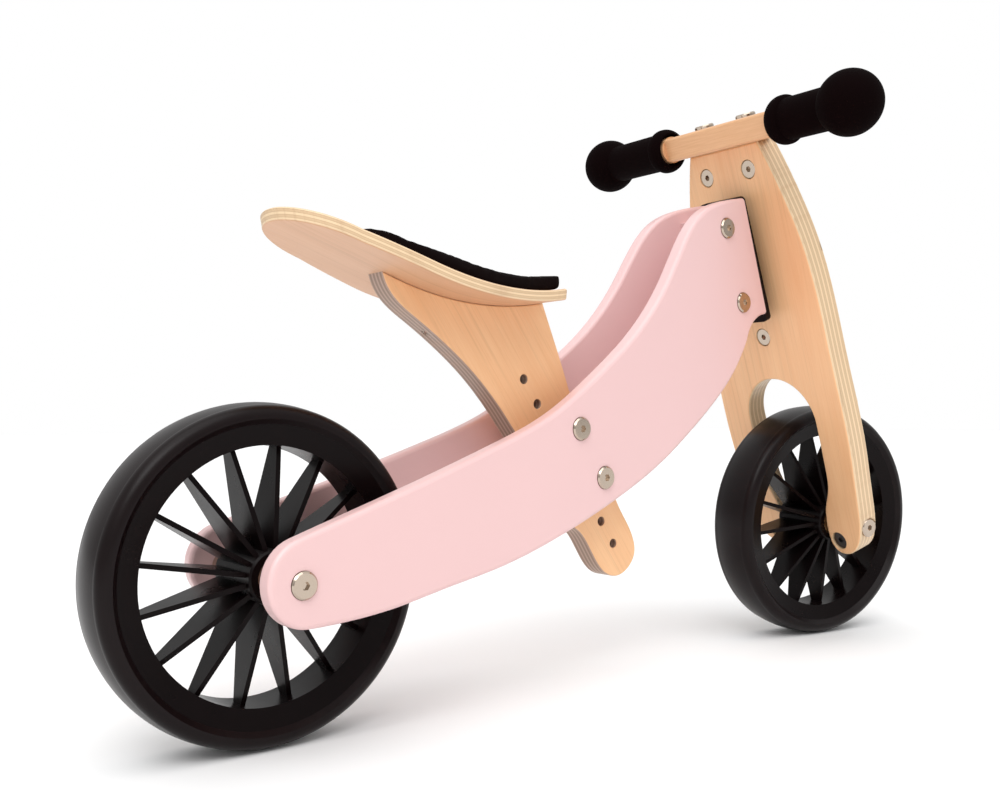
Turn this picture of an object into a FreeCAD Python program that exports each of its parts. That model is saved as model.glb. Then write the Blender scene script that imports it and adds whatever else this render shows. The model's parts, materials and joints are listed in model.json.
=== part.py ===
import FreeCAD, Part
import math
import os

import Sketcher

# Wooden balance bike. Millimetres, +X forward, +Y to the rider's left, +Z up.
# The origin is on the ground under the middle of the bike. The fork is drawn in its own frame:
# x forward, y left, z up along the steering axis, with its origin at the front hub's centre.

V = FreeCAD.Vector
X, Y, Z = V(1, 0, 0), V(0, 1, 0), V(0, 0, 1)

DIMS = {
    # layout
    "wheelbase": 532.0,
    "hub_height": 100.0,
    "front_lift": 0.4,
    "head_rake": 19.67,
    "rest_turn": 8.11,
    # wheels
    "tyre_r": 100.0,
    "tyre_half_width": 21.3,
    "tyre_shoulder": 7.5,
    "tyre_crown": 1.5,
    "rim_r": 87.3,
    "rim_half_width": 18.0,
    "rim_inner_r": 75.1,
    "rim_inner_half_width": 14.5,
    "hub_r": 16.2,
    "hub_half_length": 24.4,
    "spoke_count": 16,
    "spoke_thick": 3.0,
    "bearing_od": 22.0,
    "bearing_id": 8.0,
    "bearing_width": 7.0,
    "ball_r": 1.95,
    "ball_ring_r": 7.5,
    # side panels
    "panel_thick": 12.0,
    "panel_splay": 4.64,
    "panel_rear_y": 58.1,
    "panel_round": 3.0,
    # seat post and seat
    "post_thick": 18.0,
    "post_hole_r": 3.4,
    "post_hole_count": 8,
    "post_hole_pitch": 20.9,
    "post_lean": 54.6,
    "seat_thick": 7.5,
    "pad_thick": 9.0,
    "pad_gap": 0.3,
    # fork board, handlebar and grips
    "board_thick": 19.8,
    "bar_height": 19.8,
    "bar_round": 2.5,
    "grip_r": 15.7,
    "grip_collar_r": 18.3,
    "grip_ball_r": 23.2,
    "core_r": 11.0,
    # fixings
    "bolt_r": 3.0,
    "bolt_hole_r": 3.1,
    "bolt_head_r": 7.9,
    "bolt_head_high": 2.8,
    "bolt_sink": 0.7,
    "seat_face_r": 8.2,
    "hex_r": 2.6,
    "nut_sleeve_r": 4.2,
    "nut_sleeve_hole_r": 4.4,
    "dowel_r": 7.7,
    "dowel_hole_r": 7.85,
    # steering hinge
    "plate_thick": 6.0,
    "plate_half_width": 21.3,
    "plate_back": 28.4,
    "knuckle_r": 6.6,
    "knuckle_low": 210.0,
    "knuckle_high": 271.0,
    "bush_r": 4.6,
    "pin_hole_r": 3.05,
}


class Dims:
    """Reads a driving dimension as an attribute, e.g. d.tyre_r."""

    def __getattr__(self, key):
        return DIMS[key]


d = Dims()
doc = FreeCAD.newDocument("balance_bike")
sheet = doc.addObject("Spreadsheet::Sheet", "dims")
for row, (alias, value) in enumerate(DIMS.items(), start=1):
    sheet.set("A%d" % row, alias)
    sheet.set("B%d" % row, str(value))
    sheet.setAlias("B%d" % row, alias)
doc.recompute()

nodes = []


def node(obj, label):
    """Names an object as one exported node."""
    obj.Label = label
    nodes.append(obj)
    return obj


def tie(obj, prop, expression):
    obj.setExpression(prop, expression)
    return obj


# ---------------------------------------------------------------- frames
REAR = V(-d.wheelbase / 2, 0, d.hub_height)
FRONT = V(d.wheelbase / 2, 0, d.hub_height + d.front_lift)
REAR_PLACE = FreeCAD.Placement(REAR, FreeCAD.Rotation())
HEAD_TURN = FreeCAD.Rotation(Y, -d.head_rake)
HEAD_PLACE = FreeCAD.Placement(FRONT, HEAD_TURN)
FORK_PLACE = FreeCAD.Placement(FRONT, HEAD_TURN * FreeCAD.Rotation(Z, -d.rest_turn))


def at(frame, pos=V(0, 0, 0), turn=None):
    """A placement given inside one of the frames."""
    return frame.multiply(FreeCAD.Placement(pos, turn or FreeCAD.Rotation()))


# ---------------------------------------------------------------- drawing helpers
def draw(sketch, start, path):
    """Draws one closed outline; each step is a line, an arc through a point, or a curve."""
    here = start
    for step in path:
        kind, points = step[0], [V(p[0], p[1], 0) for p in step[1:]]
        begin = V(here[0], here[1], 0)
        here = step[-1]
        if kind == "line":
            sketch.addGeometry(Part.LineSegment(begin, points[0]), False)
        elif kind == "arc":
            sketch.addGeometry(Part.Arc(begin, points[0], points[1]), False)
        else:
            curve = Part.BSplineCurve()
            curve.interpolate([begin] + points)
            sketch.addGeometry(curve, False)


def lines(points):
    """Straight-sided closed outline through the points."""
    return points[0], [("line", p) for p in points[1:] + points[:1]]


def new_body(name, place):
    body = doc.addObject("PartDesign::Body", name)
    body.Placement = place
    return body


def new_sketch(body, plane, start, path, lift=0.0):
    sketch = body.newObject("Sketcher::SketchObject", body.Name + "_sketch")
    base = [f for f in body.Origin.OriginFeatures if f.Role == plane][0]
    sketch.AttachmentSupport = [(base, "")]
    sketch.MapMode = "FlatFace"
    sketch.AttachmentOffset = FreeCAD.Placement(V(0, 0, lift), FreeCAD.Rotation())
    draw(sketch, start, path)
    return sketch


def pad(body, sketch, length, middle=False, back=False):
    feature = body.newObject("PartDesign::Pad", body.Name + "_pad")
    feature.Profile = sketch
    if middle:
        feature.SideType = "Symmetric"
    feature.Reversed = back
    feature.Refine = False
    if isinstance(length, str):
        tie(feature, "Length", length)
    else:
        feature.Length = length
    doc.recompute()
    return feature


def turned(name, place, start, path):
    """A body turned about its own Y axis from a half section drawn as (radius, y)."""
    body = new_body(name, place)
    sketch = new_sketch(body, "XY_Plane", start, path)
    spin = body.newObject("PartDesign::Revolution", name + "_turn")
    spin.Profile = sketch
    spin.ReferenceAxis = (sketch, ["V_Axis"])
    spin.Angle = 360
    doc.recompute()
    return body


def rounded(body, feature, radius, pick):
    """Rounds the edges that pick() accepts."""
    names = ["Edge%d" % (i + 1) for i, e in enumerate(feature.Shape.Edges) if pick(e)]
    fillet = body.newObject("PartDesign::Fillet", body.Name + "_round")
    fillet.Base = (feature, names)
    fillet.Refine = False
    tie(fillet, "Radius", radius)
    doc.recompute()
    return fillet


def rod(name, radius, length, place, along=Y):
    """A cylinder from place, along one of its frame's axes; the radius may be a sheet name."""
    obj = doc.addObject("Part::Cylinder", name)
    if isinstance(radius, str):
        tie(obj, "Radius", radius)
    else:
        obj.Radius = radius
    obj.Height = length
    obj.Placement = at(place, turn=FreeCAD.Rotation(Z, along))
    return obj


def block(name, low, high, place):
    """A box between two corners of a frame."""
    obj = doc.addObject("Part::Box", name)
    obj.Length, obj.Width, obj.Height = high[0] - low[0], high[1] - low[1], high[2] - low[2]
    obj.Placement = at(place, V(*low))
    return obj


def joined(name, parts):
    obj = doc.addObject("Part::MultiFuse", name)
    obj.Shapes = parts
    return obj


def minus(name, base, tools):
    obj = doc.addObject("Part::Cut", name)
    obj.Base = base
    obj.Tool = tools[0] if len(tools) == 1 else joined(name + "_tools", tools)
    doc.recompute()
    return obj


def group(label, parts):
    """Several separate solids of one kind, exported as one node."""
    obj = doc.addObject("Part::Compound", label)
    obj.Links = parts
    doc.recompute()
    return node(obj, label)


# ---------------------------------------------------------------- fixings
def screw(name, place, length, hollow=None):
    """Low round head outside y = 0 with a hex socket, and a shank of a length along +y."""
    high, head, shank = d.bolt_head_high, d.bolt_head_r, d.bolt_r
    if hollow:
        shank = d.nut_sleeve_r
    outline = [
        (0, length),
        (shank, length),
        (shank, 0),
        (head, 0),
        (head, -high + 1.0),
        (head - 1.0, -high),
        (0, -high),
    ]
    if hollow:
        outline[0] = (hollow, length)
        outline[-1] = (hollow, -high)
    body = turned(name, place, *lines(outline))
    if hollow:
        return body
    socket = doc.addObject("Part::Prism", name + "_hex")
    socket.Polygon = 6
    tie(socket, "Circumradius", "dims.hex_r")
    socket.Height = 2.0
    socket.Placement = at(place, V(0, -high - 0.01, 0), FreeCAD.Rotation(Z, Y))
    return minus(name + "_cut", body, [socket])


def cap_nut(name, place, length):
    """Sleeve nut with the same low head: it takes a bolt's end and shows its own hex socket."""
    high, head, shank = d.bolt_head_high, d.bolt_head_r, d.nut_sleeve_r
    start, path = lines(
        [
            (d.pin_hole_r, 0.4),
            (d.pin_hole_r, length),
            (shank, length),
            (shank, 0),
            (head, 0),
            (head, -high + 1.0),
            (head - 1.0, -high),
            (0, -high),
            (0, 0.4),
        ]
    )
    body = turned(name, place, start, path)
    socket = doc.addObject("Part::Prism", name + "_hex")
    socket.Polygon = 6
    tie(socket, "Circumradius", "dims.hex_r")
    socket.Height = 2.0
    socket.Placement = at(place, V(0, -high - 0.01, 0), FreeCAD.Rotation(Z, Y))
    return minus(name + "_cut", body, [socket])


def facing(side):
    """Turns a fixing so that its shank runs inward from the side's outer face."""
    return FreeCAD.Rotation(Z, 0 if side < 0 else 180)


# ---------------------------------------------------------------- wheels
def wheel(prefix, place, turned_by):
    """Tyre, spoked rim and the two ball bearings of one wheel, on its own Y axis."""
    r, w, s = d.tyre_r, d.tyre_half_width, d.tyre_shoulder
    edge = r - d.tyre_crown
    seat, lip = d.rim_r, d.rim_half_width
    c = s * math.sqrt(0.5)
    key_r, key_w = seat + 4.0, 6.0
    start = (seat, -lip)
    path = [
        ("line", (seat + 3.0, -w)),
        ("line", (edge - s, -w)),
        ("arc", (edge - s + c, -w + s - c), (edge, -w + s)),
        ("arc", (r, 0), (edge, w - s)),
        ("arc", (edge - s + c, w - s + c), (edge - s, w)),
        ("line", (seat + 3.0, w)),
        ("line", (seat, lip)),
        ("line", (seat, key_w)),
        ("line", (key_r, key_w - 2)),
        ("line", (key_r, -key_w + 2)),
        ("line", (seat, -key_w)),
        ("line", (seat, -lip)),
    ]
    node(turned(prefix + "_tyre_body", place, start, path), prefix + "_tyre")

    # rim ring and hub are two turned rings joined by blades that deepen towards the hub
    body = new_body(prefix + "_rim_body", at(place, V(0, 0, 0), FreeCAD.Rotation(Y, turned_by)))
    ring = new_sketch(
        body,
        "XY_Plane",
        *lines(
            [
                (d.rim_inner_r, -d.rim_inner_half_width),
                (seat, -lip),
                (seat, -key_w),
                (key_r, -key_w + 2),
                (key_r, key_w - 2),
                (seat, key_w),
                (seat, lip),
                (d.rim_inner_r, d.rim_inner_half_width),
            ]
        )
    )
    end = d.hub_half_length
    pocket = end - d.bearing_width
    draw(
        ring,
        *lines(
            [
                (9.3, -pocket),
                (d.bearing_od / 2, -pocket),
                (d.bearing_od / 2, -end),
                (d.hub_r - 1.2, -end),
                (d.hub_r, -end + 1.2),
                (d.hub_r, end - 1.2),
                (d.hub_r - 1.2, end),
                (d.bearing_od / 2, end),
                (d.bearing_od / 2, pocket),
                (9.3, pocket),
            ]
        )
    )
    spin = body.newObject("PartDesign::Revolution", prefix + "_rim_turn")
    spin.Profile = ring
    spin.ReferenceAxis = (ring, ["V_Axis"])
    spin.Angle = 360
    try:
        spin.AllowMultiFace = True
    except AttributeError:
        pass
    doc.recompute()
    blade = new_sketch(
        body,
        "YZ_Plane",
        *lines(
            [
                (-19.5, 13.5),
                (-4.6, d.rim_inner_r + 1.5),
                (4.6, d.rim_inner_r + 1.5),
                (19.5, 13.5),
            ]
        )
    )
    first = pad(body, blade, "dims.spoke_thick", middle=True)
    ring_of = body.newObject("PartDesign::PolarPattern", prefix + "_spokes")
    ring_of.Originals = [first]
    ring_of.Axis = ([f for f in body.Origin.OriginFeatures if f.Role == "Y_Axis"][0], [""])
    ring_of.Angle = 360
    ring_of.Occurrences = d.spoke_count
    tie(ring_of, "Occurrences", "dims.spoke_count")
    body.Tip = ring_of
    doc.recompute()
    node(body, prefix + "_rim")

    outers, inners, balls = [], [], []
    for side in (-1, 1):
        hub_end = at(place, V(0, side * end, 0), facing(side))
        tag = "%s_%s" % (prefix, "right" if side < 0 else "left")
        outers.append(bearing_ring(tag + "_outer", hub_end, outer=True))
        inners.append(bearing_ring(tag + "_inner", hub_end, outer=False))
        for k in range(7):
            turn = 2 * math.pi * k / 7
            ball = doc.addObject("Part::Sphere", "%s_ball_%d" % (tag, k))
            tie(ball, "Radius", "dims.ball_r")
            spot = V(math.cos(turn), 0, math.sin(turn)) * d.ball_ring_r
            ball.Placement = at(hub_end, spot + V(0, d.bearing_width / 2, 0))
            balls.append(ball)
    group(prefix + "_bearing_outer_rings", outers)
    group(prefix + "_bearing_inner_rings", inners)
    group(prefix + "_bearing_balls", balls)


def bearing_ring(name, place, outer):
    """One ring of a 22 x 8 x 7 bearing with its half of the ball groove; y runs inward."""
    wide, mid = d.bearing_width, d.bearing_width / 2
    groove = d.ball_r + 0.04
    land = 1.4
    half = math.sqrt(groove**2 - land**2)
    if outer:
        edge = d.ball_ring_r + land
        start = (d.bearing_od / 2, 0)
        path = [
            ("line", (d.bearing_od / 2, wide)),
            ("line", (edge, wide)),
            ("line", (edge, mid + half)),
            ("arc", (d.ball_ring_r + groove, mid), (edge, mid - half)),
            ("line", (edge, 0.7)),
            ("line", (6.4, 0.7)),
            ("line", (6.4, 0.3)),
            ("line", (edge, 0.3)),
            ("line", (edge, 0)),
            ("line", start),
        ]
    else:
        edge = d.ball_ring_r - land
        start = (d.bearing_id / 2, 0)
        path = [
            ("line", (d.bearing_id / 2, wide)),
            ("line", (edge, wide)),
            ("line", (edge, mid + half)),
            ("arc", (d.ball_ring_r - groove, mid), (edge, mid - half)),
            ("line", (edge, 0)),
            ("line", start),
        ]
    return turned(name, place, start, path)


wheel("rear", REAR_PLACE, 9.0)
wheel("front", FORK_PLACE, 12.0)

# ---------------------------------------------------------------- side panels
SPLAY = math.tan(math.radians(d.panel_splay))
LEAN = math.radians(d.post_lean)
HOLE_STEP = V(math.cos(LEAN), 0, -math.sin(LEAN)) * d.post_hole_pitch
FIRST_HOLE = V(194.0, 0, 116.8)
SEAT_BOLTS = [FIRST_HOLE + HOLE_STEP * 2, FIRST_HOLE + HOLE_STEP * 4]
HEAD_BOLTS = [V(384.6, 0, 238.1), V(406.4, 0, 181.6)]
AXLE = V(0, 0, 0)


def panel_face(x):
    """Distance from the middle plane to a panel's outer face."""
    return d.panel_rear_y - SPLAY * x


def panel_inner(x):
    return panel_face(x) - d.panel_thick / math.cos(math.radians(d.panel_splay))


HEAD_LOW, HEAD_HIGH = (441.0, 174.6), (408.6, 265.0)
TAIL_TOP, TAIL_END, TAIL_LOW = (-3.9, 24.9), (-21.4, 0.7), (5.0, -24.8)


def at_head_end(edge):
    """True for the panel's straight front end, which stays square against the hinge plate."""
    return edge.BoundBox.XMin > HEAD_HIGH[0] - 1 and edge.BoundBox.ZMax > HEAD_HIGH[1] - 1


def side_panel(label, side):
    """Painted ply side: a slim curved beam that rises and deepens towards the head."""
    place = at(REAR_PLACE, V(0, side * d.panel_rear_y, 0), FreeCAD.Rotation(Z, -side * d.panel_splay))
    body = new_body(label + "_body", place)
    path = [
        ("curve", (28.0, -24.0), (65.2, -20.0), (102.3, -12.9), (142.6, -5.4), (197.6, 10.0),
         (254.6, 31.6), (302.8, 54.6), (351.2, 86.2), (396.0, 124.4), (415.4, 152.6)),
        ("arc", (425.4, 167.8), HEAD_LOW),
        ("line", HEAD_HIGH),
        ("curve", (392.9, 261.7), (374.8, 256.5), (360.9, 250.2), (348.6, 241.2), (338.0, 229.0),
         (315.9, 194.6), (281.7, 154.4), (239.1, 121.5), (190.0, 91.3), (148.5, 74.8),
         (71.0, 48.6), TAIL_TOP),
        ("arc", TAIL_END, TAIL_LOW),
    ]
    sketch = new_sketch(body, "XZ_Plane", TAIL_LOW, path)
    plate = pad(body, sketch, "dims.panel_thick", back=side < 0)
    rounded(body, plate, "dims.panel_round", lambda e: e.BoundBox.YLength < 0.01 and not at_head_end(e))
    cuts = []
    for i, spot in enumerate([AXLE] + SEAT_BOLTS + HEAD_BOLTS):
        face = panel_face(spot.x) - d.bolt_sink
        hole = "dims.bolt_hole_r"
        if side > 0 and spot is not AXLE:
            hole = "dims.nut_sleeve_hole_r"
        outside = at(REAR_PLACE, V(spot.x, side * (face + 20), spot.z), facing(side))
        cuts.append(rod("%s_hole_%d" % (label, i), hole, 60, outside))
        cuts.append(rod("%s_face_%d" % (label, i), "dims.seat_face_r", 20, outside))
    return node(minus(label, body, cuts), label)


side_panel("frame_panel_right", -1)
side_panel("frame_panel_left", 1)


def through_bolts(bolt_label, nut_label, spots):
    """Bolts put in from the right, each met by a sleeve nut in the left panel."""
    bolts, nuts = [], []
    for i, spot in enumerate(spots):
        face = panel_face(spot.x) - d.bolt_sink
        right = at(REAR_PLACE, V(spot.x, -face, spot.z), facing(-1))
        left = at(REAR_PLACE, V(spot.x, face, spot.z), facing(1))
        bolts.append(screw("%s_%d" % (bolt_label, i), right, 2 * face - 1.0))
        nuts.append(cap_nut("%s_%d" % (nut_label, i), left, 10.5))
    group(bolt_label, bolts)
    group(nut_label, nuts)


through_bolts("seat_bolts", "seat_bolt_nuts", SEAT_BOLTS)
through_bolts("head_bolts", "head_bolt_nuts", HEAD_BOLTS)

# ---------------------------------------------------------------- rear axle
rear_inner = panel_inner(0)
rear_sleeve = minus(
    "rear_axle_sleeve",
    rod("rear_sleeve_outside", d.bearing_id / 2, 2 * rear_inner - 0.8, at(REAR_PLACE, V(0, 0.4 - rear_inner, 0))),
    [rod("rear_sleeve_bore", "dims.pin_hole_r", 120, at(REAR_PLACE, V(0, -60, 0)))],
)
node(rear_sleeve, "rear_axle_sleeve")


def axle_bolts(label, frame, face, length):
    group(
        label,
        [
            screw("%s_%d" % (label, side + 1), at(frame, V(0, side * face, 0), facing(side)), length)
            for side in (-1, 1)
        ],
    )


def axle_spacers(label, frame, outer_end, radius):
    """Turned spacers from the bearings' inner rings out to the wood."""
    bore, end = d.bearing_id / 2 + 0.05, d.hub_half_length
    outline = [(bore, 0), (5.9, 0), (5.9, 0.9), (radius, 0.9), (radius, outer_end - end), (bore, outer_end - end)]
    if outer_end - end < 2.0:
        outline = [(bore, 0), (5.9, 0), (5.9, outer_end - end), (bore, outer_end - end)]
    group(
        label,
        [
            turned("%s_%d" % (label, side + 1), at(frame, V(0, side * end, 0), facing(-side)), *lines(outline))
            for side in (-1, 1)
        ],
    )


axle_bolts("rear_axle_bolts", REAR_PLACE, panel_face(0) - d.bolt_sink, 34.0)
axle_spacers("rear_spacers", REAR_PLACE, rear_inner - 0.75, 8.6)

# ---------------------------------------------------------------- seat post
# The underside of the seat is a straight run up to the tail that rolls into one large arc.
DISH = V(165.4, 0, 399.2)
DISH_R = 233.4
TAIL_SLOPE = math.radians(18.5)
ROLL = math.pi / 2 + TAIL_SLOPE


def dish(x, lift=0.0):
    """Point of the seat's underside, or of a surface a set height above it."""
    reach = DISH_R - lift
    low = V(DISH.x - reach * math.sin(TAIL_SLOPE), 0, DISH.z - reach * math.cos(TAIL_SLOPE))
    if x < low.x:
        return (x, low.z + (low.x - x) * math.tan(TAIL_SLOPE))
    return (x, DISH.z - math.sqrt(reach**2 - (x - DISH.x) ** 2))


def roll_start(lift):
    """Where the straight tail meets the arc."""
    reach = DISH_R - lift
    return dish(DISH.x - reach * math.sin(TAIL_SLOPE), lift)


def dish_path(x_from, x_to, lift):
    """Straight run and arc, walked in either direction."""
    turn = roll_start(lift)
    if x_from < turn[0]:
        middle = dish((turn[0] + x_to) / 2, lift)
        return [("line", turn), ("arc", middle, dish(x_to, lift))]
    middle = dish((turn[0] + x_from) / 2, lift)
    steps = [("arc", middle, turn), ("line", dish(x_to, lift))]
    return steps


post = new_body("seat_post_body", REAR_PLACE)
POST_REAR, POST_FRONT = 80.6, 211.2
post_path = dish_path(POST_REAR, POST_FRONT, 0) + [
    ("curve", (217.5, 155.1), (225.8, 135.4), (235.8, 110.2)),
    ("line", (282.9, 28.2)),
    ("curve", (290.2, 16.6), (299.4, 1.0), (301.4, -11.0), (295.0, -21.4), (283.0, -26.9), (272.0, -24.2),
     (261.9, -14.2), (241.8, 10.8)),
    ("line", (182.0, 86.0)),
    ("curve", (169.0, 101.8), (149.5, 121.5), (128.5, 138.3), (108.0, 152.4), (89.2, 166.2), dish(POST_REAR)),
]
post_sketch = new_sketch(post, "XZ_Plane", dish(POST_REAR), post_path)
pad(post, post_sketch, "dims.post_thick", middle=True)
hole_row = [
    rod("post_hole_%d" % k, "dims.post_hole_r", 40, at(REAR_PLACE, FIRST_HOLE + HOLE_STEP * k + V(0, -20, 0)))
    for k in range(d.post_hole_count)
]
SEAT_SCREWS = [118.0, 178.0]
pilot = [
    rod("post_pilot_%d" % i, 2.05, 50, at(REAR_PLACE, V(x, 0, dish(x)[1] - 28)), Z)
    for i, x in enumerate(SEAT_SCREWS)
]
node(minus("seat_post", post, hole_row + pilot), "seat_post")

# spacers keep the post in the middle between the two splayed panels
spacers = []
for i, spot in enumerate(SEAT_BOLTS):
    for side in (-1, 1):
        length = panel_inner(spot.x) - d.post_thick / 2 - 0.8
        base = at(REAR_PLACE, V(spot.x, side * d.post_thick / 2, spot.z), facing(-side))
        ring = lines([(3.2, 0), (8.0, 0), (8.0, length), (3.2, length)])
        spacers.append(turned("seat_spacer_%d_%d" % (i, side + 1), base, *ring))
group("seat_spacers", spacers)

# ---------------------------------------------------------------- seat
SEAT_TAIL, SEAT_NOSE = 8.0, 210.0


def seat_plan(inset, tail, nose, tail_r, low, high, name):
    """A block with the seat's outline from above: round tail, gently narrowing to the nose."""
    w = [40.6 - inset, 48.0 - inset, 46.4 - inset, 37.6 - inset]
    t = tail_r
    q = t * (1 - math.sqrt(0.5))
    flat = w[0] - t
    body = new_body(name, at(REAR_PLACE, V(0, 0, low)))
    path = [
        ("line", (tail, flat)),
        ("arc", (tail + q, w[0] - q), (tail + t, w[0])),
        ("curve", (103.0, w[1]), (150.0, w[2]), (nose - 4, w[3])),
        ("arc", (nose - 1.2, w[3] - 1.2), (nose, w[3] - 4)),
        ("line", (nose, 4 - w[3])),
        ("arc", (nose - 1.2, 1.2 - w[3]), (nose - 4, -w[3])),
        ("curve", (150.0, -w[2]), (103.0, -w[1]), (tail + t, -w[0])),
        ("arc", (tail + q, q - w[0]), (tail, -flat)),
    ]
    sketch = new_sketch(body, "XY_Plane", (tail, -flat), path)
    pad(body, sketch, high - low)
    return body


def seat_layer(label, tail, nose, lift, thick, inset, tail_r):
    """A sheet bent to the seat's curve and trimmed to its outline."""
    body = new_body(label + "_bend", REAR_PLACE)
    low, high = lift, lift + thick
    path = (
        dish_path(tail, nose, low)
        + [("line", dish(nose, high))]
        + dish_path(nose, tail, high)
        + [("line", dish(tail, low))]
    )
    sketch = new_sketch(body, "XZ_Plane", dish(tail, low), path)
    pad(body, sketch, 120.0, middle=True)
    trimmed = doc.addObject("Part::Common", label + "_trim")
    trimmed.Base = body
    trimmed.Tool = seat_plan(inset, tail, nose, tail_r, 140, 240, label + "_plan")
    doc.recompute()
    return trimmed


shell = seat_layer("seat_shell", SEAT_TAIL, SEAT_NOSE, 0.0, d.seat_thick, 0.0, 40.0)
shell_holes = []
screws = []
for i, x in enumerate(SEAT_SCREWS):
    top = dish(x, d.seat_thick)[1] - 0.6
    spot = at(REAR_PLACE, V(x, 0, top), FreeCAD.Rotation(X, -90))
    shell_holes.append(rod("shell_hole_%d" % i, 2.1, 30, at(REAR_PLACE, V(x, 0, top - 20)), Z))
    shell_holes.append(rod("shell_sink_%d" % i, 4.3, 20, at(REAR_PLACE, V(x, 0, top - 2.6)), Z))
    outline = lines([(0, 0.0), (4.0, 0.0), (4.0, 2.4), (2.0, 2.4), (2.0, 30.0), (0, 33.0)])
    screws.append(turned("seat_screw_%d" % i, spot, *outline))
node(minus("seat_shell", shell, shell_holes), "seat_shell")
group("seat_screws", screws)
node(
    seat_layer("seat_pad", 60.0, SEAT_NOSE - 0.6, d.seat_thick + d.pad_gap, d.pad_thick, 5.0, 22.0),
    "seat_pad",
)

# ---------------------------------------------------------------- head block and steering hinge
PLATE_LOW, PLATE_HIGH = 188.8, 292.3
BACK = -d.plate_back
head_solid = new_body("head_block_body", HEAD_PLACE)
block_sketch = new_sketch(
    head_solid,
    "XZ_Plane",
    *lines([(BACK, 200), (BACK, 284), (BACK - 34, 284), (BACK - 40, 210), (BACK - 14, 200)])
)
pad(head_solid, block_sketch, 60.0, middle=True)
side_cuts = []
for side in (-1, 1):
    inner_plane = at(
        REAR_PLACE, V(0, side * panel_inner(0), 0), FreeCAD.Rotation(Z, -side * d.panel_splay)
    )
    low = (300, 0.0, 100) if side > 0 else (300, -60.0, 100)
    high = (480, 60.0, 320) if side > 0 else (480, 0.0, 320)
    side_cuts.append(block("head_side_%d" % (side + 1), low, high, inner_plane))
for i, spot in enumerate(HEAD_BOLTS):
    side_cuts.append(rod("head_bore_%d" % i, "dims.bolt_hole_r", 80, at(REAR_PLACE, spot + V(0, -40, 0))))
HINGE_SCREWS = [(-8.0, 214.0), (8.0, 214.0), (-8.0, 268.0), (8.0, 268.0)]
for i, (y, z) in enumerate(HINGE_SCREWS):
    start = at(HEAD_PLACE, V(BACK + 10, y, z))
    side_cuts.append(rod("head_pilot_%d" % i, 1.8, 28, start, -X))
node(minus("head_block", head_solid, side_cuts), "head_block")

plate_body = new_body("hinge_plate_body", at(HEAD_PLACE, V(BACK, 0, 0)))
w, r = d.plate_half_width, 4.0
q = r * (1 - math.sqrt(0.5))
plate_path = [
    ("line", (w, PLATE_HIGH - r)),
    ("arc", (w - q, PLATE_HIGH - q), (w - r, PLATE_HIGH)),
    ("line", (r - w, PLATE_HIGH)),
    ("arc", (q - w, PLATE_HIGH - q), (-w, PLATE_HIGH - r)),
    ("line", (-w, PLATE_LOW + r)),
    ("arc", (q - w, PLATE_LOW + q), (r - w, PLATE_LOW)),
    ("line", (w - r, PLATE_LOW)),
    ("arc", (w - q, PLATE_LOW + q), (w, PLATE_LOW + r)),
]
plate_sketch = new_sketch(plate_body, "YZ_Plane", (w, PLATE_LOW + r), plate_path)
pad(plate_body, plate_sketch, "dims.plate_thick")
neck = block("hinge_neck", (BACK + 3, -4.5, 213), (-3, 4.5, 268), HEAD_PLACE)
knuckle = rod(
    "hinge_knuckle", "dims.knuckle_r", d.knuckle_high - d.knuckle_low, at(HEAD_PLACE, V(0, 0, d.knuckle_low)), Z
)
hinge = joined("hinge_joined", [plate_body, neck, knuckle])
hinge_cuts = [rod("hinge_bore", "dims.bush_r", 90, at(HEAD_PLACE, V(0, 0, 195)), Z)]
hinge_screws = []
for i, (y, z) in enumerate(HINGE_SCREWS):
    front = at(HEAD_PLACE, V(BACK + d.plate_thick, y, z), FreeCAD.Rotation(Z, 90))
    hinge_cuts.append(rod("hinge_hole_%d" % i, 2.0, 12, at(front, V(0, -1, 0))))
    hinge_cuts.append(rod("hinge_sink_%d" % i, 3.4, 3.6, at(front, V(0, -1, 0))))
    outline = lines([(0, 0.5), (3.2, 0.5), (3.2, 2.5), (1.7, 2.5), (1.7, 22.0), (0, 24.0)])
    hinge_screws.append(turned("hinge_screw_%d" % i, front, *outline))
node(minus("steering_hinge", hinge, hinge_cuts), "steering_hinge")
group("hinge_screws", hinge_screws)

bushes = []
for i, (z, turn) in enumerate([(d.knuckle_high, 90), (d.knuckle_low, -90)]):
    outline = lines(
        [(d.pin_hole_r, 1.5), (d.knuckle_r, 1.5), (d.knuckle_r, 0), (d.bush_r, 0), (d.bush_r, -14), (d.pin_hole_r, -14)]
    )
    bushes.append(turned("steering_bush_%d" % i, at(HEAD_PLACE, V(0, 0, z), FreeCAD.Rotation(X, turn)), *outline))
group("steering_bushings", bushes)

# ---------------------------------------------------------------- fork board
BOARD_TOP = 331.2
DOWELS = [V(0, 24.35, 311.1), V(0, -24.35, 311.1)]
PIN_DOWEL = V(0, 0, 170.9)
FOOT_DOWELS = [V(0, 36.4, -12.3), V(0, -36.4, -12.3)]
WINDOW_LOW, WINDOW_HIGH, WINDOW_HALF = 206.4, 274.6, 10.5

board = new_body("fork_board_body", FORK_PLACE)
ARCH_R, ARCH_Z = 38.0, 95.0


def mirrored(points):
    return [(-y, z) for y, z in reversed(points)]


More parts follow.
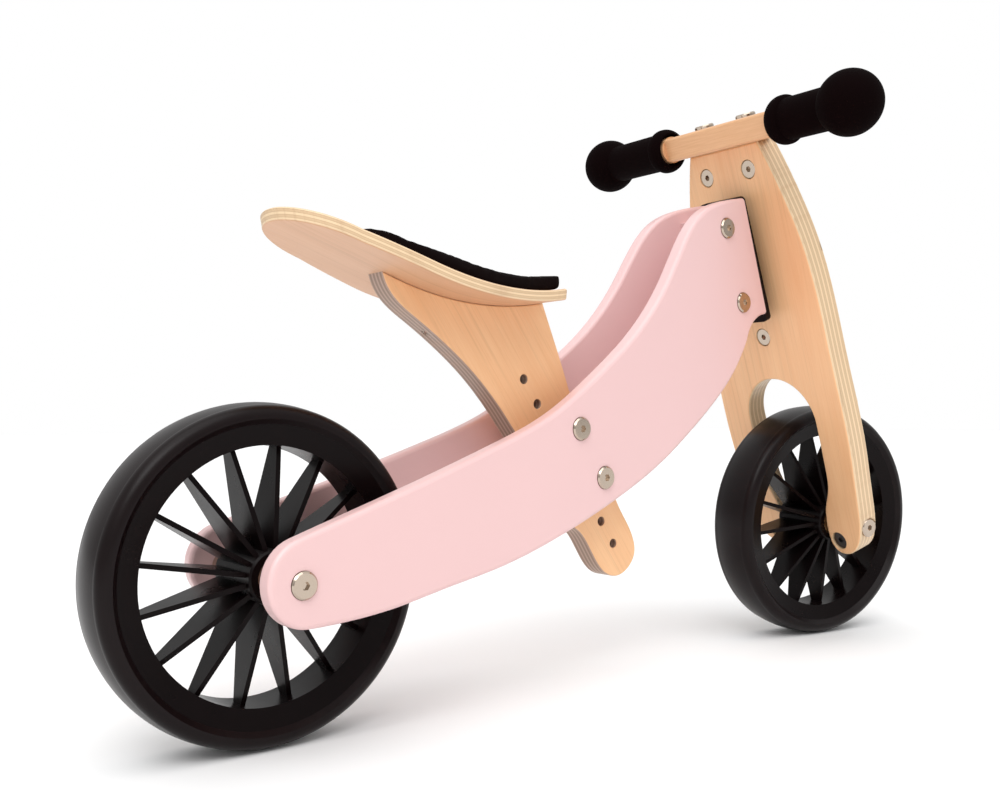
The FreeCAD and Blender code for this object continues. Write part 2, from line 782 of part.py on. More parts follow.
shoulder = [(45.6, 316.0), (54.2, 290.0), (63.0, 257.0), (68.6, 214.0), (69.6, 150.0), (69.8, 70.0), (66.4, 30.0)]
foot = [(63.4, 3.0), (57.0, -14.0), (45.0, -23.6), (32.0, -22.3), (26.6, -12.0), (26.0, 4.0), (28.6, 18.0)]
instep = [(35.0, 34.0), (37.4, 55.0)]
left = shoulder + foot + instep
board_path = [
    ("curve", *left, (37.9, 75.0)),
    ("line", (ARCH_R, ARCH_Z)),
    ("arc", (0, ARCH_Z + ARCH_R), (-ARCH_R, ARCH_Z)),
    ("line", (-37.9, 75.0)),
    ("curve", *mirrored(left), (-39.5, BOARD_TOP)),
    ("line", (39.5, BOARD_TOP)),
]
board_sketch = new_sketch(board, "YZ_Plane", (39.5, BOARD_TOP), board_path)
pad(board, board_sketch, "dims.board_thick", middle=True)
half = d.board_thick / 2
cuts = [
    block("board_window", (-half - 1, -WINDOW_HALF, WINDOW_LOW), (7.2, WINDOW_HALF, WINDOW_HIGH), FORK_PLACE),
    rod("board_pin_hole", "dims.bolt_hole_r", 180, at(FORK_PLACE, V(0, 0, 160)), Z),
    rod("board_pin_sink", 6.4, 20, at(FORK_PLACE, V(0, 0, BOARD_TOP - 6)), Z),
]
for i, spot in enumerate(DOWELS + [PIN_DOWEL] + FOOT_DOWELS):
    cuts.append(rod("board_dowel_hole_%d" % i, "dims.dowel_hole_r", 16.9, at(FORK_PLACE, spot + V(-half - 1, 0, 0)), X))
for i, spot in enumerate(DOWELS):
    cuts.append(rod("board_bar_hole_%d" % i, "dims.bolt_hole_r", 40, at(FORK_PLACE, V(0, spot.y, 300)), Z))
FOOT_FACE, FOOT_INNER = 61.2, 25.3
for side in (-1, 1):
    tip = at(FORK_PLACE, V(0, side * (FOOT_FACE + 10), 0), facing(side))
    cuts.append(rod("foot_face_%d" % (side + 1), "dims.seat_face_r", 10, tip))
    cuts.append(rod("foot_hole_%d" % (side + 1), "dims.bolt_hole_r", 50, tip))
node(minus("fork_board", board, cuts), "fork_board")


def dowel(name, spot, sink, depth, cross):
    """Barrel nut set in the board's back, its socket end facing rearward."""
    face = at(FORK_PLACE, spot + V(-half + sink, 0, 0), FreeCAD.Rotation(Z, -90))
    r = d.dowel_r
    outline = lines([(0, 0), (r - 0.8, 0), (r, 0.8), (r, depth), (0, depth)])
    body = turned(name, face, *outline)
    socket = doc.addObject("Part::Prism", name + "_hex")
    socket.Polygon = 6
    tie(socket, "Circumradius", "dims.hex_r")
    socket.Height = 2.5
    socket.Placement = at(face, V(0, -0.01, 0), FreeCAD.Rotation(Z, Y))
    tools = [socket]
    if cross:
        tools.append(rod(name + "_thread", "dims.pin_hole_r", 30, at(FORK_PLACE, spot + V(0, 0, -15)), Z))
    return minus(name + "_cut", body, tools)


group("handlebar_barrel_nuts", [dowel("bar_dowel_%d" % i, s, 0.8, 15.0, True) for i, s in enumerate(DOWELS)])
node(dowel("pin_dowel", PIN_DOWEL, 0.8, 15.0, True), "steering_barrel_nut")
group("foot_dowels", [dowel("foot_dowel_%d" % i, s, 2.4, 13.4, False) for i, s in enumerate(FOOT_DOWELS)])

# the steering bolt runs down inside the board, through the hinge knuckle, into its barrel nut
pin_head = at(FORK_PLACE, V(0, 0, BOARD_TOP - 5.6), FreeCAD.Rotation(X, -90))
pin = turned(
    "steering_bolt_body",
    pin_head,
    *lines([(0, -5.0), (6.0, -5.0), (6.0, 0), (d.bolt_r, 0), (d.bolt_r, 162.0), (0, 162.0)])
)
node(pin, "steering_bolt")
washers = []
for i, z in enumerate([WINDOW_LOW, WINDOW_HIGH - 1.6]):
    ring = lines([(d.pin_hole_r, 0), (6.3, 0), (6.3, 1.6), (d.pin_hole_r, 1.6)])
    washers.append(turned("steering_washer_%d" % i, at(FORK_PLACE, V(0, 0, z), FreeCAD.Rotation(X, 90)), *ring))
group("steering_washers", washers)

# ---------------------------------------------------------------- front axle
sleeve_half = FOOT_INNER - 0.2
front_sleeve = minus(
    "front_axle_sleeve",
    rod("front_sleeve_outside", d.bearing_id / 2, 2 * sleeve_half, at(FORK_PLACE, V(0, -sleeve_half, 0))),
    [rod("front_sleeve_bore", "dims.pin_hole_r", 80, at(FORK_PLACE, V(0, -40, 0)))],
)
node(front_sleeve, "front_axle_sleeve")
axle_bolts("front_axle_bolts", FORK_PLACE, FOOT_FACE, 48.0)
axle_spacers("front_spacers", FORK_PLACE, FOOT_INNER - 0.1, 5.9)

# ---------------------------------------------------------------- handlebar and grips
BAR_X, BAR_Z = -15.7, 341.2
BAR_BACK, BALL_Y = -23.3, 140.3
# the two grips are not pushed on equally far
GRIP_LEFT, GRIP_RIGHT = 51.0, 71.5
low = BAR_Z - d.bar_height / 2
bar = new_body("handlebar_body", at(FORK_PLACE, V(0, 0, low)))
bar_path = lines(
    [
        (half, -34),
        (half, 34),
        (BAR_X + 8, 49),
        (BAR_X + 8, GRIP_LEFT + 4.5),
        (BAR_BACK, GRIP_LEFT + 4.5),
        (BAR_BACK, -GRIP_RIGHT - 4.5),
        (BAR_X + 8, -GRIP_RIGHT - 4.5),
        (BAR_X + 8, -57),
    ]
)
bar_sketch = new_sketch(bar, "XY_Plane", *bar_path)
bar_pad = pad(bar, bar_sketch, "dims.bar_height")
rounded(bar, bar_pad, "dims.bar_round", lambda e: e.BoundBox.ZLength < 0.01 and e.BoundBox.YLength > 15)
core_end = 134.0
core = rod("bar_core", "dims.core_r", 2 * core_end, at(FORK_PLACE, V(BAR_X, -core_end, BAR_Z)))
core_gap = block("bar_core_gap", (-60, -GRIP_RIGHT, 300), (60, GRIP_LEFT, 380), FORK_PLACE)
ends = minus("bar_ends", core, [core_gap])
bar_whole = joined("bar_whole", [bar, ends])
bar_cuts = [
    rod("bar_hole_%d" % i, "dims.bolt_hole_r", 60, at(FORK_PLACE, V(0, s.y, 320)), Z) for i, s in enumerate(DOWELS)
]
node(minus("handlebar", bar_whole, bar_cuts), "handlebar")
bar_top = BAR_Z + d.bar_height / 2
group(
    "handlebar_bolts",
    [
        screw("bar_bolt_%d" % i, at(FORK_PLACE, V(0, s.y, bar_top), FreeCAD.Rotation(X, -90)), 48.0)
        for i, s in enumerate(DOWELS)
    ],
)


def grip(label, side, start):
    """Soft grip: rounded collar at the bar, straight tube and a ball over the bar's end."""
    place = at(FORK_PLACE, V(BAR_X, side * start, BAR_Z), facing(-side))
    ball, tube, collar, bore = d.grip_ball_r, d.grip_r, d.grip_collar_r, d.core_r + 0.1
    centre = BALL_Y - start
    meet = centre - math.sqrt(ball**2 - tube**2)
    deep = core_end + 1.0 - start
    mouth = (bore, 4.8)
    path = [
        ("line", (bore, deep)),
        ("line", (0, deep)),
        ("line", (0, centre + ball)),
        ("arc", (ball, centre), (tube, meet)),
        ("line", (tube, 13.4)),
        ("arc", (collar - 0.7, 11.8), (collar, 9.0)),
        ("arc", (collar - 1.1, 3.4), (14.6, 0.2)),
        ("line", (13.2, 0.2)),
        ("line", (13.2, 4.8)),
        ("line", mouth),
    ]
    return node(turned(label + "_body", place, mouth, path), label)


grip("grip_right", -1, GRIP_RIGHT)
grip("grip_left", 1, GRIP_LEFT)

# ---------------------------------------------------------------- checks and export
doc.recompute()
for obj in doc.Objects:
    if any(word in obj.State for word in ("Invalid", "Error")):
        raise RuntimeError("%s is in state %s" % (obj.Label, obj.State))
os.makedirs("parts", exist_ok=True)
for old in os.listdir("parts"):
    os.remove(os.path.join("parts", old))
for obj in nodes:
    shape = obj.Shape
    if shape.isNull() or not shape.isValid():
        raise RuntimeError("%s has a bad shape" % obj.Label)
    shape.exportStep("parts/%s.step" % obj.Label)
    print("%-26s %3d solids %10.0f mm3" % (obj.Label, len(shape.Solids), shape.Volume))
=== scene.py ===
import json
import math

import bmesh
import bpy
from mathutils import Matrix, Vector


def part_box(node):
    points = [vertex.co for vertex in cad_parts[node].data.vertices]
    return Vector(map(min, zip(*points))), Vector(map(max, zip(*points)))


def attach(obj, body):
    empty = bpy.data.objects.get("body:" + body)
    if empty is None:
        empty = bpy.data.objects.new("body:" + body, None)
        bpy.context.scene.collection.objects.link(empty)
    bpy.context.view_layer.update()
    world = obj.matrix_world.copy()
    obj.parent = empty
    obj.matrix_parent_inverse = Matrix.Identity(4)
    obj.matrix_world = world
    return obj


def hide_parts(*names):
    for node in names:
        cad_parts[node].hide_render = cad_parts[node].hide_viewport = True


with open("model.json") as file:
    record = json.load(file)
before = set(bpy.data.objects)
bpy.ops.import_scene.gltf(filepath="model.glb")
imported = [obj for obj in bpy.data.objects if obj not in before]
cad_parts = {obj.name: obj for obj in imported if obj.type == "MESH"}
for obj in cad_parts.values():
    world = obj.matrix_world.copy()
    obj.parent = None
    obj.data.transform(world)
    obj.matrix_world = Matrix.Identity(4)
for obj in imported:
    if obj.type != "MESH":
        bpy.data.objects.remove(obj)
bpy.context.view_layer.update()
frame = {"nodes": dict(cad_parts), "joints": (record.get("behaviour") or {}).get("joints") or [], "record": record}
nodes = frame["nodes"]
joints = {j["name"]: j for j in frame["joints"]}
MM = 0.001

# ---------------------------------------------------------------- frames
# The fork's own frame: x forward, y left, z up along the steering axis, origin at the front hub.
steer_axis = Vector(joints["steer"]["axis"]).normalized()
front_hub = Vector(joints["steer"]["pos_m"])
fork_left = Vector(joints["front_wheel_spin"]["axis"]).normalized()
fork_ahead = fork_left.cross(steer_axis).normalized()
FORK = Matrix.Translation(front_hub) @ Matrix((fork_ahead, fork_left, steer_axis)).transposed().to_4x4()
REAR = Matrix.Translation(Vector(joints["rear_wheel_spin"]["pos_m"]))


def place(base, x, y, z):
    """A point given in millimetres in one of the frames."""
    return base @ Vector((x * MM, y * MM, z * MM))


# ---------------------------------------------------------------- node helpers
class Shader:
    """One material and its nodes; distances in a shader are in millimetres."""

    def __init__(self, name):
        self.mat = bpy.data.materials.new(name)
        self.mat.use_nodes = True
        self.tree = self.mat.node_tree
        self.out = self.tree.nodes["Principled BSDF"]
        self.place = self.add("ShaderNodeTexCoord").outputs["Object"]

    def add(self, kind, **values):
        made = self.tree.nodes.new(kind)
        for key, value in values.items():
            setattr(made, key, value)
        return made

    def link(self, a, b):
        self.tree.links.new(a, b)

    def feed(self, socket, value):
        if isinstance(value, bpy.types.NodeSocket):
            self.link(value, socket)
        else:
            socket.default_value = value

    def math(self, op, a, b=0.0, c=0.0):
        made = self.add("ShaderNodeMath", operation=op)
        for socket, value in zip(made.inputs, (a, b, c)):
            self.feed(socket, value)
        return made.outputs[0]

    def along(self, direction, origin):
        """Distance in millimetres from a point along a direction."""
        away = self.add("ShaderNodeVectorMath", operation="SUBTRACT")
        self.link(self.place, away.inputs[0])
        away.inputs[1].default_value = origin
        dot = self.add("ShaderNodeVectorMath", operation="DOT_PRODUCT")
        self.link(away.outputs[0], dot.inputs[0])
        dot.inputs[1].default_value = Vector(direction) * 1000
        return dot.outputs["Value"]

    def vector(self, x, y, z):
        made = self.add("ShaderNodeCombineXYZ")
        for socket, value in zip(made.inputs, (x, y, z)):
            self.feed(socket, value)
        return made.outputs[0]

    def noise(self, where, scale, detail=3.0, rough=0.5):
        made = self.add("ShaderNodeTexNoise")
        self.link(where, made.inputs["Vector"])
        made.inputs["Scale"].default_value = scale
        made.inputs["Detail"].default_value = detail
        made.inputs["Roughness"].default_value = rough
        return made.outputs["Fac"]

    def ramp(self, fac, low, high):
        """Linear remap of low..high to 0..1."""
        made = self.add("ShaderNodeMapRange", clamp=True)
        self.link(fac, made.inputs["Value"])
        made.inputs["From Min"].default_value = low
        made.inputs["From Max"].default_value = high
        return made.outputs["Result"]

    def mix(self, fac, a, b):
        made = self.add("ShaderNodeMix", data_type="RGBA")
        self.feed(made.inputs["Factor"], fac)
        for socket, value in ((made.inputs[6], a), (made.inputs[7], b)):
            self.feed(socket, value if isinstance(value, bpy.types.NodeSocket) else (*value, 1.0))
        return made.outputs[2]

    def bump(self, height, distance, strength=1.0):
        made = self.add("ShaderNodeBump")
        self.link(height, made.inputs["Height"])
        made.inputs["Distance"].default_value = distance
        made.inputs["Strength"].default_value = strength
        self.link(made.outputs["Normal"], self.out.inputs["Normal"])

    def set(self, **values):
        for key, value in values.items():
            self.feed(self.out.inputs[key.replace("_", " ")], value)


CREAM, CREAM_DARK = (0.80, 0.60, 0.38), (0.72, 0.51, 0.31)
# Painted shade: grey-brown ply edge colours that stand for the shade on the seat post's rear edge, used on all its
# edges.
SHADED_PLY, SHADED_PLY_DARK = (0.46, 0.32, 0.25), (0.30, 0.20, 0.15)


def scaled(s, u, v, t, along, across, through):
    """Wood coordinates stretched by a factor in each direction."""
    return s.vector(*(s.math("MULTIPLY", a, b) for a, b in ((u, along), (v, across), (t, through))))


def wood(name, origin, depth, grain, thick, layers, light, dark, bend=None, plies=(CREAM, CREAM_DARK)):
    """Lacquered plywood as a solid: long-grain and cross-grain sheets with glue lines between."""
    s = Shader(name)
    u = s.along(grain, origin)
    v = s.along(Vector(depth).cross(Vector(grain)).normalized(), origin)
    t = bend(s) if bend else s.along(depth, origin)
    fine = s.noise(scaled(s, u, v, t, 0.02, 0.6, 0.6), 1.5, 5.0, 0.6)
    broad = s.noise(s.vector(s.math("MULTIPLY", u, 0.005), s.math("MULTIPLY", v, 0.045), 0.0), 1.0, 3.0, 0.55)
    flecks = s.noise(scaled(s, u, v, t, 0.12, 1.5, 1.5), 1.0, 2.0)
    tone = s.math("MULTIPLY", s.ramp(fine, 0.3, 0.7), 0.45)
    tone = s.math("ADD", tone, s.math("MULTIPLY", s.ramp(broad, 0.32, 0.68), 0.55))
    colour = s.mix(tone, light, dark)
    shade = tuple(c * 0.6 for c in dark)
    colour = s.mix(s.math("MULTIPLY", s.ramp(flecks, 0.66, 0.80), 0.30), colour, shade)
    if layers:
        sheet = s.math("MULTIPLY", t, layers / thick)
        above = s.math("SUBTRACT", float(layers), sheet)
        buried = s.math("MULTIPLY", s.ramp(sheet, 0.2, 0.3), s.ramp(above, 0.2, 0.3))
        parity = s.math("PINGPONG", s.math("FLOOR", sheet), 1.0)
        glue = s.math("SUBTRACT", 1.0, s.ramp(s.math("PINGPONG", sheet, 0.5), 0.04, 0.13))
        pores = s.noise(scaled(s, u, v, t, 0.5, 0.3, 2.5), 2.0)
        core = s.mix(parity, plies[0], s.mix(pores, plies[1], tuple(c * 0.8 for c in plies[1])))
        core = s.mix(s.math("MULTIPLY", s.ramp(flecks, 0.6, 0.8), 0.25), core, plies[1])
        core = s.mix(s.math("MULTIPLY", glue, 0.45), core, (0.34, 0.18, 0.09))
        colour = s.mix(buried, colour, core)
    streaks = s.noise(s.vector(s.math("MULTIPLY", u, 0.004), s.math("MULTIPLY", v, 0.35), 3.0), 1.0, 4.0, 0.6)
    colour = s.mix(s.math("MULTIPLY", s.ramp(streaks, 0.52, 0.72), 0.30), colour, shade)
    s.set(Base_Color=colour)
    s.set(Roughness=s.math("ADD", 0.36, s.math("MULTIPLY", fine, 0.16)))
    s.set(Coat_Weight=0.20, Coat_Roughness=0.30, Specular_IOR_Level=0.40)
    s.bump(fine, 0.00012, 0.5)
    return s.mat


def shell_bend(s):
    """Depth above the seat's underside: from a plane behind the tangent line, from an arc before it."""
    origin = place(REAR, 165.4, 0, 399.2)
    slope = math.radians(18.5)
    plane = s.math("ADD", s.along((math.sin(slope), 0, math.cos(slope)), origin), 233.4)
    forward = s.along((1, 0, 0), origin)
    upward = s.along((0, 0, 1), origin)
    reach = s.math("SQRT", s.math("ADD", s.math("POWER", forward, 2.0), s.math("POWER", upward, 2.0)))
    arc = s.math("SUBTRACT", 233.4, reach)
    ahead = s.math("GREATER_THAN", s.along((math.cos(slope), 0, -math.sin(slope)), origin), 0.0)
    behind = s.math("SUBTRACT", 1.0, ahead)
    return s.math("ADD", s.math("MULTIPLY", arc, ahead), s.math("MULTIPLY", plane, behind))


def paint(name, colour):
    """Satin paint over sanded ply, with a little spray texture and a hint of grain under it."""
    s = Shader(name)
    peel = s.noise(s.place, 900.0, 2.0)
    cloud = s.noise(s.place, 9.0, 2.0)
    run = s.along((1, 0, 0.2), (0, 0, 0))
    rise = s.math("MULTIPLY", s.along((0, 0, 1), (0, 0, 0)), 12.0)
    grain = s.noise(s.vector(run, rise, 0.0), 0.03, 3.0)
    s.set(Base_Color=s.mix(cloud, tuple(c * 0.975 for c in colour), tuple(min(1, c * 1.015) for c in colour)))
    s.set(Roughness=s.math("ADD", 0.30, s.math("MULTIPLY", peel, 0.10)))
    s.set(Coat_Weight=0.15, Coat_Roughness=0.22, Specular_IOR_Level=0.5)
    s.bump(s.math("ADD", s.math("MULTIPLY", peel, 0.35), s.math("MULTIPLY", grain, 0.65)), 0.00005, 0.6)
    return s.mat


def foam(name, colour, rough, scale, depth, gloss):
    """Black foam: fine closed cells and a faint bloom on the surface."""
    s = Shader(name)
    cells = s.add("ShaderNodeTexVoronoi")
    s.link(s.place, cells.inputs["Vector"])
    cells.inputs["Scale"].default_value = scale
    cloud = s.noise(s.place, 40.0, 4.0)
    s.set(Base_Color=s.mix(cloud, tuple(c * 0.75 for c in colour), tuple(c * 1.5 for c in colour)))
    s.set(Roughness=s.math("ADD", rough - 0.05, s.math("MULTIPLY", cloud, 0.10)))
    s.set(Specular_IOR_Level=gloss)
    s.bump(s.math("ADD", cells.outputs["Distance"], s.math("MULTIPLY", cloud, 0.5)), depth, 0.7)
    return s.mat


def moulded(name, colour, rough, gloss, depth=0.00004):
    """Moulded plastic with a fine spark-eroded texture and slight handling marks."""
    s = Shader(name)
    grit = s.noise(s.place, 1500.0, 2.0)
    marks = s.noise(s.place, 60.0, 5.0, 0.6)
    s.set(Base_Color=s.mix(marks, tuple(c * 0.8 for c in colour), tuple(c * 1.35 for c in colour)))
    s.set(Roughness=s.math("ADD", rough - 0.06, s.math("MULTIPLY", marks, 0.14)))
    s.set(Specular_IOR_Level=gloss)
    s.bump(grit, depth, 0.6)
    return s.mat


def metal(name, colour, rough):
    """Plated steel with faint polishing marks."""
    s = Shader(name)
    marks = s.noise(s.place, 700.0, 4.0, 0.65)
    s.set(Base_Color=s.mix(marks, tuple(c * 0.9 for c in colour), colour))
    s.set(Roughness=s.math("ADD", rough - 0.04, s.math("MULTIPLY", marks, 0.12)))
    s.set(Metallic=1.0)
    s.bump(marks, 0.00001, 0.5)
    return s.mat


def woven(name, colour):
    """Plain-weave cover with slightly fuzzy threads."""
    s = Shader(name)
    u = s.along((1, 0, -0.2), (0, 0, 0))
    v = s.along((0, 1, 0), (0, 0, 0))
    pitch = 2 * math.pi / 0.9
    a = s.math("SINE", s.math("MULTIPLY", u, pitch))
    b = s.math("SINE", s.math("MULTIPLY", v, pitch))
    weave = s.math("MULTIPLY", a, b)
    fuzz = s.noise(s.place, 2200.0, 3.0)
    cloud = s.noise(s.place, 25.0, 3.0)
    tone = s.math("ADD", s.math("MULTIPLY", weave, 0.25), cloud)
    s.set(Base_Color=s.mix(tone, tuple(c * 0.6 for c in colour), tuple(c * 1.7 for c in colour)))
    s.set(Roughness=s.math("ADD", 0.84, s.math("MULTIPLY", fuzz, 0.12)))
    s.set(Specular_IOR_Level=0.06)
    s.bump(s.math("ADD", weave, s.math("MULTIPLY", fuzz, 1.2)), 0.00015, 0.7)
    return s.mat


UP, LEFT = Vector((0, 0, 1)), Vector((0, 1, 0))
POST_GRAIN = Vector((0.579, 0, -0.815))
BIRCH, BIRCH_DARK = (0.92, 0.57, 0.31), (0.84, 0.45, 0.22)
# Painted shade: seat birch darkened to the tone of the seat's shaded underside, used on the whole shell, top
# included.
SHADED_SEAT_BIRCH, SHADED_SEAT_DARK = (0.72, 0.43, 0.26), (0.64, 0.35, 0.19)
BAR, BAR_DARK = (0.83, 0.50, 0.27), (0.60, 0.29, 0.13)

pink = paint("pink_paint", (0.80, 0.535, 0.530))
board_wood = wood("board_wood", place(FORK, -9.9, 0, 0), fork_ahead, steer_axis, 19.8, 9, BIRCH, BIRCH_DARK)
# The post's ply edges take the painted-shade grey-brown plies.
post_wood = wood(
    "post_wood", place(REAR, 0, -9, 0), LEFT, POST_GRAIN, 18.0, 9, BIRCH, BIRCH_DARK, plies=(SHADED_PLY, SHADED_PLY_DARK)
)
# The seat shell takes the painted-shade darkened birch colours.
shell_wood = wood(
    "shell_wood", place(REAR, 0, 0, 0), UP, (1, 0, 0), 7.5, 5, SHADED_SEAT_BIRCH, SHADED_SEAT_DARK, bend=shell_bend
)
bar_wood = wood("bar_wood", place(FORK, 0, 0, 320), steer_axis, fork_left, 20.0, 0, BAR, BAR_DARK)
tyre_foam = foam("tyre_foam", (0.0055, 0.0026, 0.0028), 0.30, 1400.0, 0.00003, 0.15)
grip_foam = foam("grip_foam", (0.0030, 0.0009, 0.0010), 0.85, 1300.0, 0.00012, 0.03)
rim_plastic = moulded("rim_plastic", (0.0035, 0.0016, 0.0017), 0.28, 0.09)
hinge_plastic = moulded("hinge_plastic", (0.0045, 0.0018, 0.0020), 0.50, 0.12)
nylon = moulded("nylon", (0.70, 0.68, 0.62), 0.45, 0.5)
nickel = metal("nickel", (0.52, 0.43, 0.35), 0.13)
black_steel = metal("black_steel", (0.12, 0.11, 0.11), 0.35)
cover = woven("pad_cover", (0.0040, 0.0016, 0.0016))

SLOT_LOOKS = {
    "pink_paint": pink,
    "ply": board_wood,
    "bar_wood": bar_wood,
    "tyre": tyre_foam,
    "black_plastic": rim_plastic,
    "nylon": nylon,
    "grip_foam": grip_foam,
    "pad_fabric": cover,
    "steel": nickel,
    "dark_steel": black_steel,
}
slots = {p["node"]: p["material_slot"] for p in frame["record"]["subparts"]}
for node_name, obj in nodes.items():
    obj.data.materials.clear()
    obj.data.materials.append(SLOT_LOOKS[slots[node_name]])
nodes["steering_hinge"].data.materials[0] = hinge_plastic

# ---------------------------------------------------------------- finer pieces
BEND = place(REAR, 165.4, 0, 399.2)
BEND_R = 233.4
FLAT = Vector((math.sin(math.radians(18.5)), 0, math.cos(math.radians(18.5))))


def seat_depth(point):
    """Millimetres above the seat's underside, which is a straight run and then an arc."""
    away = (point - BEND) / MM
    away.y = 0
    if away.dot(FLAT.cross(LEFT)) > 0:
        return BEND_R + away.dot(FLAT)
    return BEND_R - away.length


def make(name, bm, material, body, node):
    mesh = bpy.data.meshes.new(name)
    bm.to_mesh(mesh)
    bm.free()
    mesh.shade_smooth()
    mesh.materials.append(material)
    piece = bpy.data.objects.new(name, mesh)
    bpy.context.scene.collection.objects.link(piece)
    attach(piece, body)
    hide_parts(node)
    return piece


NEAR = 0.05 * MM
HOLE_MAX = 25 * MM


def eased(node, name, material, body, radius, axis=None, small=0.4, steps=5):
    """The CAD board with its square edges eased to a radius; holes get a smaller one.

    With an axis the board is flat and its two faces are filled afresh inside the new edges.
    Without one its faces are bent and keep their own strips.
    """
    bm = bmesh.new()
    bm.from_mesh(nodes[node].data)
    bmesh.ops.remove_doubles(bm, verts=bm.verts[:], dist=NEAR)
    bm.normal_update()
    if axis:
        levels = [v.co.dot(axis) for v in bm.verts]
        ends = (min(levels), max(levels))
        caps = {
            f
            for f in bm.faces
            if abs(f.normal.dot(axis)) > 0.999 and min(abs(f.verts[0].co.dot(axis) - e) for e in ends) < NEAR
        }
    else:
        caps = {f for f in bm.faces if abs(f.normal.z) > 0.6}
    border = [e for e in bm.edges if len(e.link_faces) == 2 and sum(f in caps for f in e.link_faces) == 1]
    mark = bm.verts.layers.int.new("mark")
    frames, pairs, left = {}, [], set(border)
    while left:
        loop, reach = [], [left.pop()]
        while reach:
            edge = reach.pop()
            loop.append(edge)
            near = {e for v in edge.verts for e in v.link_edges} & left
            left -= near
            reach.extend(near)
        points = {v for e in loop for v in e.verts}
        size = max(max(v.co[k] for v in points) - min(v.co[k] for v in points) for k in range(3))
        r = (radius if size > HOLE_MAX else small) * MM
        for v in points:
            v[mark] = len(frames) + 1
            up = sum((f.normal for f in v.link_faces if f in caps), Vector()).normalized()
            walls = [next(f for f in e.link_faces if f not in caps).normal for e in v.link_edges if e in loop]
            out = sum((w - up * w.dot(up) for w in walls), Vector()).normalized()
            out *= r / max(0.6, min(out.dot(w) for w in walls))
            frames[v[mark]] = (v.co.copy(), up * r, out)
        pairs.extend((e.verts[0][mark], e.verts[1][mark]) for e in loop)
    bmesh.ops.split_edges(bm, edges=border)
    rings = {key: [None] * (steps + 1) for key in frames}
    for v in bm.verts:
        if v[mark]:
            inner = any(f in caps for f in v.link_faces)
            rings[v[mark]][steps if inner else 0] = v
    for key, (spot, up, out) in frames.items():
        for k in range(steps + 1):
            turn = math.pi / 2 * k / steps
            where = spot - up - out + out * math.cos(turn) + up * math.sin(turn)
            if rings[key][k] is None:
                rings[key][k] = bm.verts.new(where)
            else:
                rings[key][k].co = where
    for a, b in pairs:
        for k in range(steps):
            bm.faces.new((rings[a][k], rings[b][k], rings[b][k + 1], rings[a][k + 1]))
    if axis:
        bmesh.ops.delete(bm, geom=list(caps), context="FACES_ONLY")
        for end in ends:
            rim = [
                e
                for e in bm.edges
                if e.is_boundary and all(abs(v.co.dot(axis) - end) < NEAR for v in e.verts)
            ]
            bmesh.ops.triangle_fill(bm, use_beauty=True, use_dissolve=False, edges=rim)
    bmesh.ops.recalc_face_normals(bm, faces=bm.faces[:])
    piece = make(name, bm, material, body, node)
    piece.data.set_sharp_from_angle(angle=math.radians(38))
    even = piece.modifiers.new("even", "WEIGHTED_NORMAL")
    even.keep_sharp = True
    return piece


eased("fork_board", "fork_ply", board_wood, "fork", 2.2, axis=fork_ahead)
eased("seat_post", "post_ply", post_wood, "frame", 1.2, axis=LEFT)
eased("seat_shell", "seat_ply", shell_wood, "frame", 1.5)


def apply_all(obj):
    shape = bpy.data.meshes.new_from_object(obj.evaluated_get(bpy.context.evaluated_depsgraph_get()))
    obj.modifiers.clear()
    obj.data = shape


SWELL = 1.3 * MM


def seat_cushion():
    """The pad: the CAD solid, a little smaller, blown up like a cushion and pressed onto the seat."""
    bm = bmesh.new()
    bm.from_mesh(nodes["seat_pad"].data)
    bmesh.ops.remove_doubles(bm, verts=bm.verts[:], dist=2e-6)
    mesh = bpy.data.meshes.new("seat_cushion")
    bm.to_mesh(mesh)
    bm.free()
    pad = bpy.data.objects.new("seat_cushion", mesh)
    bpy.context.scene.collection.objects.link(pad)
    bpy.context.view_layer.objects.active = pad
    remesh = pad.modifiers.new("remesh", "REMESH")
    remesh.mode = "VOXEL"
    remesh.voxel_size = 0.0015
    apply_all(pad)
    bm = bmesh.new()
    bm.from_mesh(pad.data)
    for _ in range(8):
        bmesh.ops.smooth_vert(
            bm, verts=bm.verts[:], factor=0.5, use_axis_x=True, use_axis_y=True, use_axis_z=True
        )
    bm.to_mesh(pad.data)
    bm.free()
    low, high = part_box("seat_pad")
    middle = (Vector(low) + Vector(high)) / 2
    for v in pad.data.vertices:
        v.co.y = middle.y + (v.co.y - middle.y) * 0.985
        v.co.x = middle.x + (v.co.x - middle.x) * 0.99
    start = [v.co.copy() for v in pad.data.vertices]
    floor_at = min(seat_depth(p) for p in start)
    glued = pad.vertex_groups.new(name="glued")
    glued.add([i for i, p in enumerate(start) if seat_depth(p) < floor_at + 1.5], 1.0, "REPLACE")
    cloth = pad.modifiers.new("cloth", "CLOTH")
    cloth.settings.use_pressure = True
    cloth.settings.uniform_pressure_force = 4.0
    cloth.settings.vertex_group_mass = "glued"
    cloth.settings.effector_weights.gravity = 0.0
    cloth.point_cache.frame_start = 1
    cloth.point_cache.frame_end = 20
    for step in range(1, 21):
        bpy.context.scene.frame_set(step)
    apply_all(pad)
    bpy.context.scene.frame_set(1)
    for v, was in zip(pad.data.vertices, start):
        moved = v.co - was
        if moved.length > SWELL:
            v.co = was + moved.normalized() * SWELL
    pad.data.shade_smooth()
    pad.data.materials.append(cover)
    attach(pad, "frame")
    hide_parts("seat_pad")


seat_cushion()

# ---------------------------------------------------------------- room, light and camera
def light(name, kind, direction, energy, where=(0, 0, 0)):
    """A lamp shining along a direction; returns its data for the size."""
    lamp = bpy.data.lights.new(name, kind)
    lamp.energy = energy
    obj = bpy.data.objects.new(name, lamp)
    obj.location = where
    obj.rotation_euler = direction.to_track_quat("-Z", "Y").to_euler()
    bpy.context.scene.collection.objects.link(obj)
    return lamp


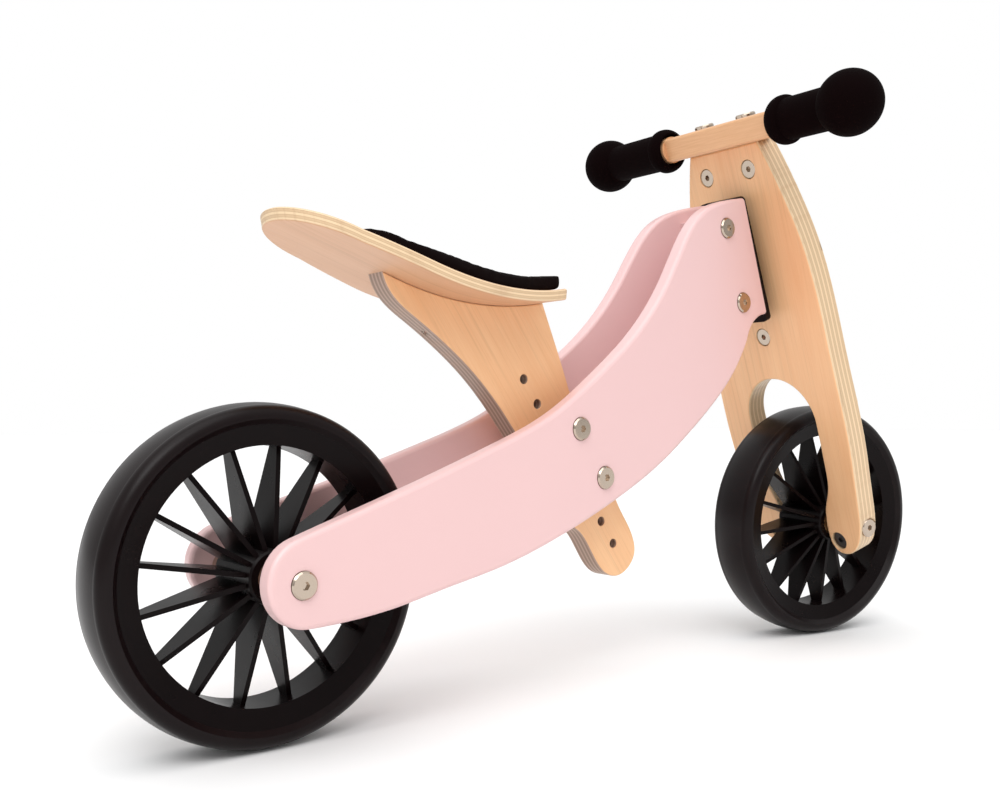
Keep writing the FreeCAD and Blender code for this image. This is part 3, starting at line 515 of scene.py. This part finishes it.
floor_mesh = bpy.data.meshes.new("floor")
FAR = 12.0
floor_mesh.from_pydata([(-FAR, -FAR, 0), (FAR, -FAR, 0), (FAR, FAR, 0), (-FAR, FAR, 0)], [], [(0, 1, 2, 3)])
floor = bpy.data.objects.new("floor", floor_mesh)
bpy.context.scene.collection.objects.link(floor)
white = Shader("floor_white")
white.set(Base_Color=white.mix(white.noise(white.place, 3.0), (0.93, 0.93, 0.93), (0.95, 0.95, 0.95)))
white.set(Roughness=0.85)
floor.data.materials.append(white.mat)

world = bpy.data.worlds.new("studio")
world.use_nodes = True
wt = world.node_tree
sky = wt.nodes.new("ShaderNodeTexCoord")
split = wt.nodes.new("ShaderNodeSeparateXYZ")
wt.links.new(sky.outputs["Generated"], split.inputs[0])
lift = wt.nodes.new("ShaderNodeMapRange")
wt.links.new(split.outputs["Z"], lift.inputs["Value"])
for edge, value in {"From Min": 0.0, "From Max": 0.8, "To Min": 0.50, "To Max": 1.05}.items():
    lift.inputs[edge].default_value = value
seen = wt.nodes.new("ShaderNodeLightPath")
level = wt.nodes.new("ShaderNodeMix")
wt.links.new(seen.outputs["Is Camera Ray"], level.inputs[0])
wt.links.new(lift.outputs["Result"], level.inputs[2])
level.inputs[3].default_value = 1.0
wt.links.new(level.outputs[0], wt.nodes["Background"].inputs[1])
wt.nodes["Background"].inputs[0].default_value = (1.0, 1.0, 1.0, 1.0)
bpy.context.scene.world = world
bpy.context.scene.view_settings.view_transform = "Standard"

light("overhead", "SUN", Vector((0.30, 0.36, -1.0)), 1.0).angle = math.radians(55)
softbox_at = Vector((-1.2, -1.1, 1.5))
softbox = light("softbox", "AREA", Vector((-0.1, 0.0, 0.2)) - softbox_at, 9.0, softbox_at)
softbox.shape = "SQUARE"
softbox.size = 0.9

# The camera: about 51 degrees across, low and behind, on the right-hand side.
camera_data = bpy.data.cameras.new("camera")
camera_data.sensor_width = 36.0
camera_data.lens = 38.06
camera_data.shift_x = 0.0089
camera_data.shift_y = 0.0266
camera_data.clip_end = 50.0
camera = bpy.data.objects.new("camera", camera_data)
azimuth, elevation, roll = math.radians(-37.541), math.radians(0.803), math.radians(-0.136)
aim = Matrix.Rotation(azimuth, 4, "Z") @ Matrix.Rotation(math.pi / 2 - elevation, 4, "X")
turn = aim @ Matrix.Rotation(roll, 4, "Z")
camera.matrix_world = Matrix.Translation(place(REAR, -266.9, -571.5, 90.7)) @ turn
bpy.context.scene.collection.objects.link(camera)
bpy.context.scene.camera = camera
